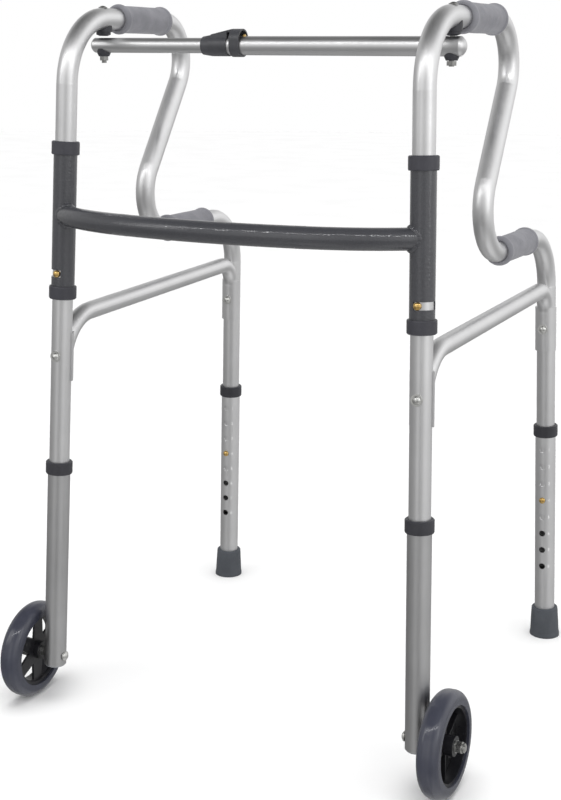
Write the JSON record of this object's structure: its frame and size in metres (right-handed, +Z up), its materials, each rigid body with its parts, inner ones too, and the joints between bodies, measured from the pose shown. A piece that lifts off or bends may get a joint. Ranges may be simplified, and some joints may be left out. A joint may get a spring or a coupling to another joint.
{
  "type": "walking frame",
  "caption": "Folding two-tier walking frame with front wheels, rear rubber feet, two pairs of handgrips and adjustable legs.",
  "frame": {"origin": "on the floor, under the middle of the frame's bounding box", "axes": "+X across the frame to its left-to-right width, +Y towards the user, +Z up"},
  "size_m": [0.6306, 0.5882, 0.8946],
  "materials": {
    "satin_aluminium": "satin anodised",
    "hammered_paint": "charcoal hammered gloss",
    "dark_plastic": "moulded, low sheen",
    "grip_foam": "soft matte",
    "brass": "polished",
    "tyre_rubber": "smooth, semi-gloss",
    "foot_rubber": "matte",
    "hub_plastic": "moulded",
    "nylon": "natural nylon",
    "zinc_steel": "bright zinc",
    "plug_plastic": "moulded"
  },
  "bodies": {
    "cross_frame": {"crossbar": "hammered_paint", "sleeve_left": "hammered_paint", "sleeve_right": "hammered_paint", "upper_sleeve_collar_left": "dark_plastic", "upper_sleeve_collar_right": "dark_plastic", "lower_sleeve_collar_left": "dark_plastic", "lower_sleeve_collar_right": "dark_plastic"},
    "side_left": {"side_tube_left": "satin_aluminium", "side_brace_left": "satin_aluminium", "upper_grip_left": "grip_foam", "lower_grip_left": "grip_foam", "brace_bolts_left": "zinc_steel", "bar_saddle_left": "dark_plastic", "bar_bolt_head_left": "zinc_steel"},
    "front_leg_left": {"front_leg_left": "satin_aluminium", "front_leg_collar_left": "dark_plastic", "leg_plug_left": "plug_plastic", "axle_bolt_left": "zinc_steel"},
    "wheel_left": {"wheel_hub_left": "hub_plastic", "tyre_left": "tyre_rubber", "wheel_bush_left": "nylon"},
    "rear_leg_left": {"rear_leg_left": "satin_aluminium", "rear_leg_collar_left": "dark_plastic", "rear_foot_left": "foot_rubber"},
    "fold_button_left": {"fold_button_left": "brass"},
    "front_leg_button_left": {"front_leg_button_left": "brass"},
    "rear_leg_button_left": {"rear_leg_button_left": "brass"},
    "side_right": {"side_tube_right": "satin_aluminium", "side_brace_right": "satin_aluminium", "upper_grip_right": "grip_foam", "lower_grip_right": "grip_foam", "brace_bolts_right": "zinc_steel", "bar_saddle_right": "dark_plastic", "bar_bolt_right": "zinc_steel"},
    "front_leg_right": {"front_leg_right": "satin_aluminium", "front_leg_collar_right": "dark_plastic", "leg_plug_right": "plug_plastic", "axle_bolt_right": "zinc_steel"},
    "wheel_right": {"wheel_hub_right": "hub_plastic", "tyre_right": "tyre_rubber", "wheel_bush_right": "nylon"},
    "rear_leg_right": {"rear_leg_right": "satin_aluminium", "rear_leg_collar_right": "dark_plastic", "rear_foot_right": "foot_rubber"},
    "fold_button_right": {"fold_button_right": "brass"},
    "front_leg_button_right": {"front_leg_button_right": "brass"},
    "rear_leg_button_right": {"rear_leg_button_right": "brass"},
    "bar_bushing": {"bar_bushing": "nylon"},
    "outer_bar": {"outer_bar": "satin_aluminium", "bar_cap_right": "dark_plastic", "latch_collar": "dark_plastic"},
    "bar_guide": {"bar_guide": "nylon"},
    "inner_bar": {"inner_bar": "satin_aluminium", "bar_cap_left": "dark_plastic", "bar_stud_left": "zinc_steel"},
    "latch_loop": {"latch_loop": "dark_plastic"},
    "lock_button": {"lock_button": "brass"}
  },
  "joints": [
    {"name": "left_fold", "type": "hinge", "parent": "cross_frame", "child": "side_left", "pos_m": [-0.23529, -0.20834, 0.61912], "axis": [0.0358, 0.0393, 0.9986], "range_deg": [-72, 0]},
    {"name": "left_front_leg_height", "type": "slide", "parent": "side_left", "child": "front_leg_left", "axis": [0.0358, 0.0393, 0.9986], "range_m": [-0.0762, 0.1016], "deforming": ["front_leg_button_left"]},
    {"name": "left_rear_leg_height", "type": "slide", "parent": "side_left", "child": "rear_leg_left", "axis": [0.0374, -0.0393, 0.9985], "range_m": [-0.0762, 0.1016], "deforming": ["rear_leg_button_left"]},
    {"name": "left_wheel_spin", "type": "hinge", "parent": "front_leg_left", "child": "wheel_left", "pos_m": [-0.28923, -0.23091, 0.06356], "axis": [-0.9991, -0.0201, 0.0366], "continuous": true},
    {"name": "fold_button_left_press", "type": "slide", "parent": "side_left", "child": "fold_button_left", "axis": [-0.0215, 0.999, -0.0385], "range_m": [0, 0.0034], "stiffness_N_per_m": 600, "springref_m": -0.002},
    {"name": "front_leg_button_left_press", "type": "slide", "parent": "side_left", "child": "front_leg_button_left", "axis": [0.0215, -0.999, 0.0385], "range_m": [0, 0.0034], "stiffness_N_per_m": 600, "springref_m": -0.002},
    {"name": "rear_leg_button_left_press", "type": "slide", "parent": "side_left", "child": "rear_leg_button_left", "axis": [-0.0186, 0.999, 0.04], "range_m": [0, 0.0034], "stiffness_N_per_m": 600, "springref_m": -0.002},
    {"name": "right_fold", "type": "hinge", "parent": "cross_frame", "child": "side_right", "pos_m": [0.23529, -0.20834, 0.61912], "axis": [-0.0358, 0.0393, 0.9986], "range_deg": [0, 72]},
    {"name": "right_front_leg_height", "type": "slide", "parent": "side_right", "child": "front_leg_right", "axis": [-0.0358, 0.0393, 0.9986], "range_m": [-0.0762, 0.1016], "deforming": ["front_leg_button_right"]},
    {"name": "right_rear_leg_height", "type": "slide", "parent": "side_right", "child": "rear_leg_right", "axis": [-0.0374, -0.0393, 0.9985], "range_m": [-0.0762, 0.1016], "deforming": ["rear_leg_button_right"]},
    {"name": "right_wheel_spin", "type": "hinge", "parent": "front_leg_right", "child": "wheel_right", "pos_m": [0.28923, -0.23091, 0.06356], "axis": [0.9991, -0.0201, 0.0366], "continuous": true},
    {"name": "fold_button_right_press", "type": "slide", "parent": "side_right", "child": "fold_button_right", "axis": [0.0215, 0.999, -0.0385], "range_m": [0, 0.0034], "stiffness_N_per_m": 600, "springref_m": -0.002},
    {"name": "front_leg_button_right_press", "type": "slide", "parent": "side_right", "child": "front_leg_button_right", "axis": [-0.0215, -0.999, 0.0385], "range_m": [0, 0.0034], "stiffness_N_per_m": 600, "springref_m": -0.002},
    {"name": "rear_leg_button_right_press", "type": "slide", "parent": "side_right", "child": "rear_leg_button_right", "axis": [0.0186, 0.999, 0.04], "range_m": [0, 0.0034], "stiffness_N_per_m": 600, "springref_m": -0.002},
    {"name": "bar_swing_right", "type": "hinge", "parent": "side_right", "child": "bar_bushing", "pos_m": [0.22884, -0.1197, 0.84352], "axis": [0, -0.0023, -1], "range_deg": [0, 79.98]},
    {"name": "bar_swing_left", "type": "hinge", "parent": "bar_bushing", "child": "outer_bar", "pos_m": [0.22884, -0.1197, 0.84352], "axis": [0, -0.0123, 0.9999], "range_deg": [0, 8.06]},
    {"name": "bar_guide_slide", "type": "slide", "parent": "outer_bar", "child": "bar_guide", "axis": [1, 0, 0], "range_m": [0, 0.07329]},
    {"name": "bar_slide", "type": "slide", "parent": "bar_guide", "child": "inner_bar", "axis": [1, 0, 0], "range_m": [0, 0.07329]},
    {"name": "latch_press", "type": "hinge", "parent": "outer_bar", "child": "latch_loop", "pos_m": [-0.072, -0.1197, 0.85552], "axis": [0, 1, 0], "range_deg": [0, 5.5], "stiffness_Nm_per_rad": 0.5, "springref_deg": -5.73},
    {"name": "lock_button_press", "type": "slide", "parent": "outer_bar", "child": "lock_button", "axis": [0, 0, -1], "range_m": [0, 0.0009], "stiffness_N_per_m": 600, "springref_m": -0.002}
  ],
  "couplings": [
    {"joint": "bar_swing_right", "follows": "right_fold", "ratio": 1.1102},
    {"joint": "bar_swing_left", "follows": "left_fold", "ratio": -0.11121},
    {"joint": "bar_guide_slide", "follows": "right_fold", "m_per_rad": 0.058285},
    {"joint": "bar_slide", "follows": "left_fold", "m_per_rad": -0.058285}
  ]
}
